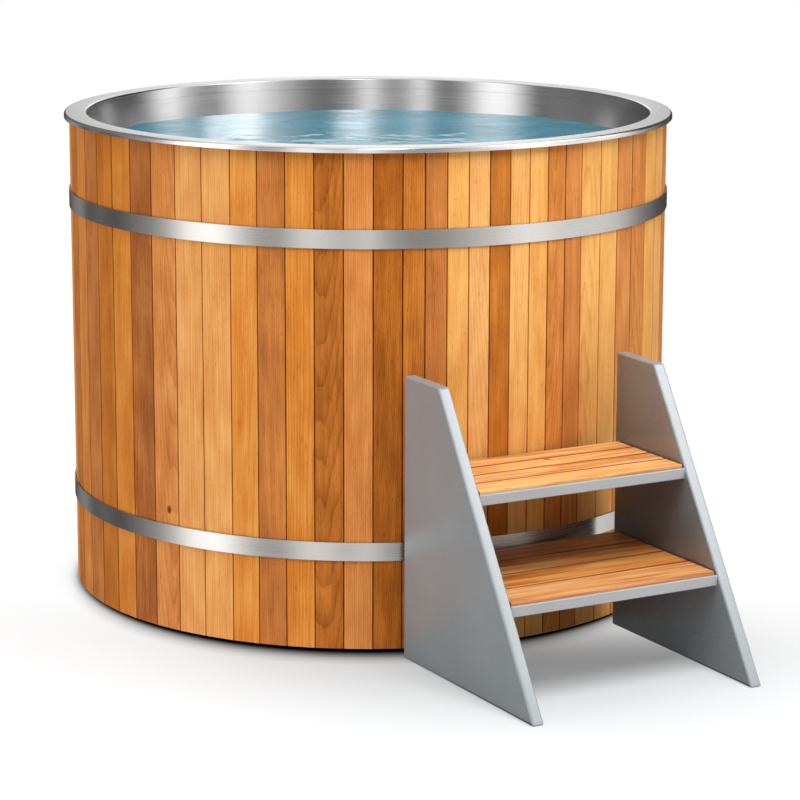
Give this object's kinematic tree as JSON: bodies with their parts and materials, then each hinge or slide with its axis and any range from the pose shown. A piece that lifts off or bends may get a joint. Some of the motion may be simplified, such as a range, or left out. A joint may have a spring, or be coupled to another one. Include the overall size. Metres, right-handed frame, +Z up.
{
  "type": "cold plunge tub",
  "caption": "Round wood-clad cold plunge tub with a steel vessel and rim, steel hoops, a bottom drain with a lever valve, and a free-standing step with treads.",
  "frame": {"origin": "on the floor at the tub's upright axis, on the underside of the middle bearer", "axes": "+Z up; the step stands on the -Y side, centred on X = 0; the drain valve is on the +Y side"},
  "size_m": [1.322, 1.9184, 1.037],
  "materials": {
    "cladding_wood": "oiled cedar boards in mixed tones",
    "tread_wood": "oiled cedar deck boards",
    "bearer_wood": "planed softwood",
    "deck_board": "plywood",
    "vessel_steel": "satin",
    "hoop_steel": "satin",
    "fixing_steel": "satin",
    "drain_steel": "satin",
    "drain_plastic": "satin",
    "valve_brass": "satin",
    "lever_vinyl": "satin",
    "gasket_rubber": "matte",
    "foam": "matte",
    "step_panel_grey": "satin",
    "tray_grey": "satin"
  },
  "bodies": {
    "tub": {"cladding_panel_01": "cladding_wood", "cladding_panel_02": "cladding_wood", "cladding_panel_03": "cladding_wood", "cladding_panel_04": "cladding_wood", "cladding_panel_05": "cladding_wood", "cladding_panel_06": "cladding_wood", "cladding_panel_07": "cladding_wood", "cladding_panel_08": "cladding_wood", "cladding_panel_09": "cladding_wood", "cladding_panel_10": "cladding_wood", "cladding_panel_11": "cladding_wood", "cladding_panel_12": "cladding_wood", "cladding_panel_13": "cladding_wood", "cladding_panel_14": "cladding_wood", "cladding_panel_15": "cladding_wood", "cladding_panel_16": "cladding_wood", "cladding_panel_17": "cladding_wood", "bearer_1": "bearer_wood", "bearer_2": "bearer_wood", "bearer_3": "bearer_wood", "bearer_4": "bearer_wood", "bearer_5": "bearer_wood", "base_deck": "deck_board", "vessel_wall": "vessel_steel", "vessel_floor": "vessel_steel", "rim": "vessel_steel", "upper_hoop": "hoop_steel", "lower_hoop": "hoop_steel", "upper_hoop_bolt": "fixing_steel", "upper_hoop_nut": "fixing_steel", "lower_hoop_bolt": "fixing_steel", "lower_hoop_nut": "fixing_steel", "drain_flange": "drain_steel", "drain_grate": "drain_steel", "drain_locknut": "drain_plastic", "drain_elbow": "drain_plastic", "drain_pipe": "drain_plastic", "valve_body": "valve_brass", "hose_tail": "valve_brass", "drain_gasket": "gasket_rubber", "foam_wrap": "foam", "floor_insulation": "foam"},
    "valve_handle": {"valve_ball": "fixing_steel", "valve_stem": "fixing_steel", "valve_lever": "fixing_steel", "lever_grip": "lever_vinyl", "lever_nut": "fixing_steel"},
    "step": {"left_step_panel": "step_panel_grey", "right_step_panel": "step_panel_grey", "upper_tray": "tray_grey", "lower_tray": "tray_grey", "upper_tread_board_1": "tread_wood", "upper_tread_board_2": "tread_wood", "upper_tread_board_3": "tread_wood", "upper_tread_board_4": "tread_wood", "lower_tread_board_1": "tread_wood", "lower_tread_board_2": "tread_wood", "lower_tread_board_3": "tread_wood", "lower_tread_board_4": "tread_wood"}
  },
  "joints": [
    {"name": "valve_turn", "type": "hinge", "parent": "tub", "child": "valve_handle", "pos_m": [0.11504, 0.70194, 0.0443], "axis": [0, 0, 1], "range_deg": [0, 90]},
    {"name": "step_pull", "type": "slide", "parent": "tub", "child": "step", "axis": [0, -1, 0], "range_m": [0, 0.6]}
  ]
}
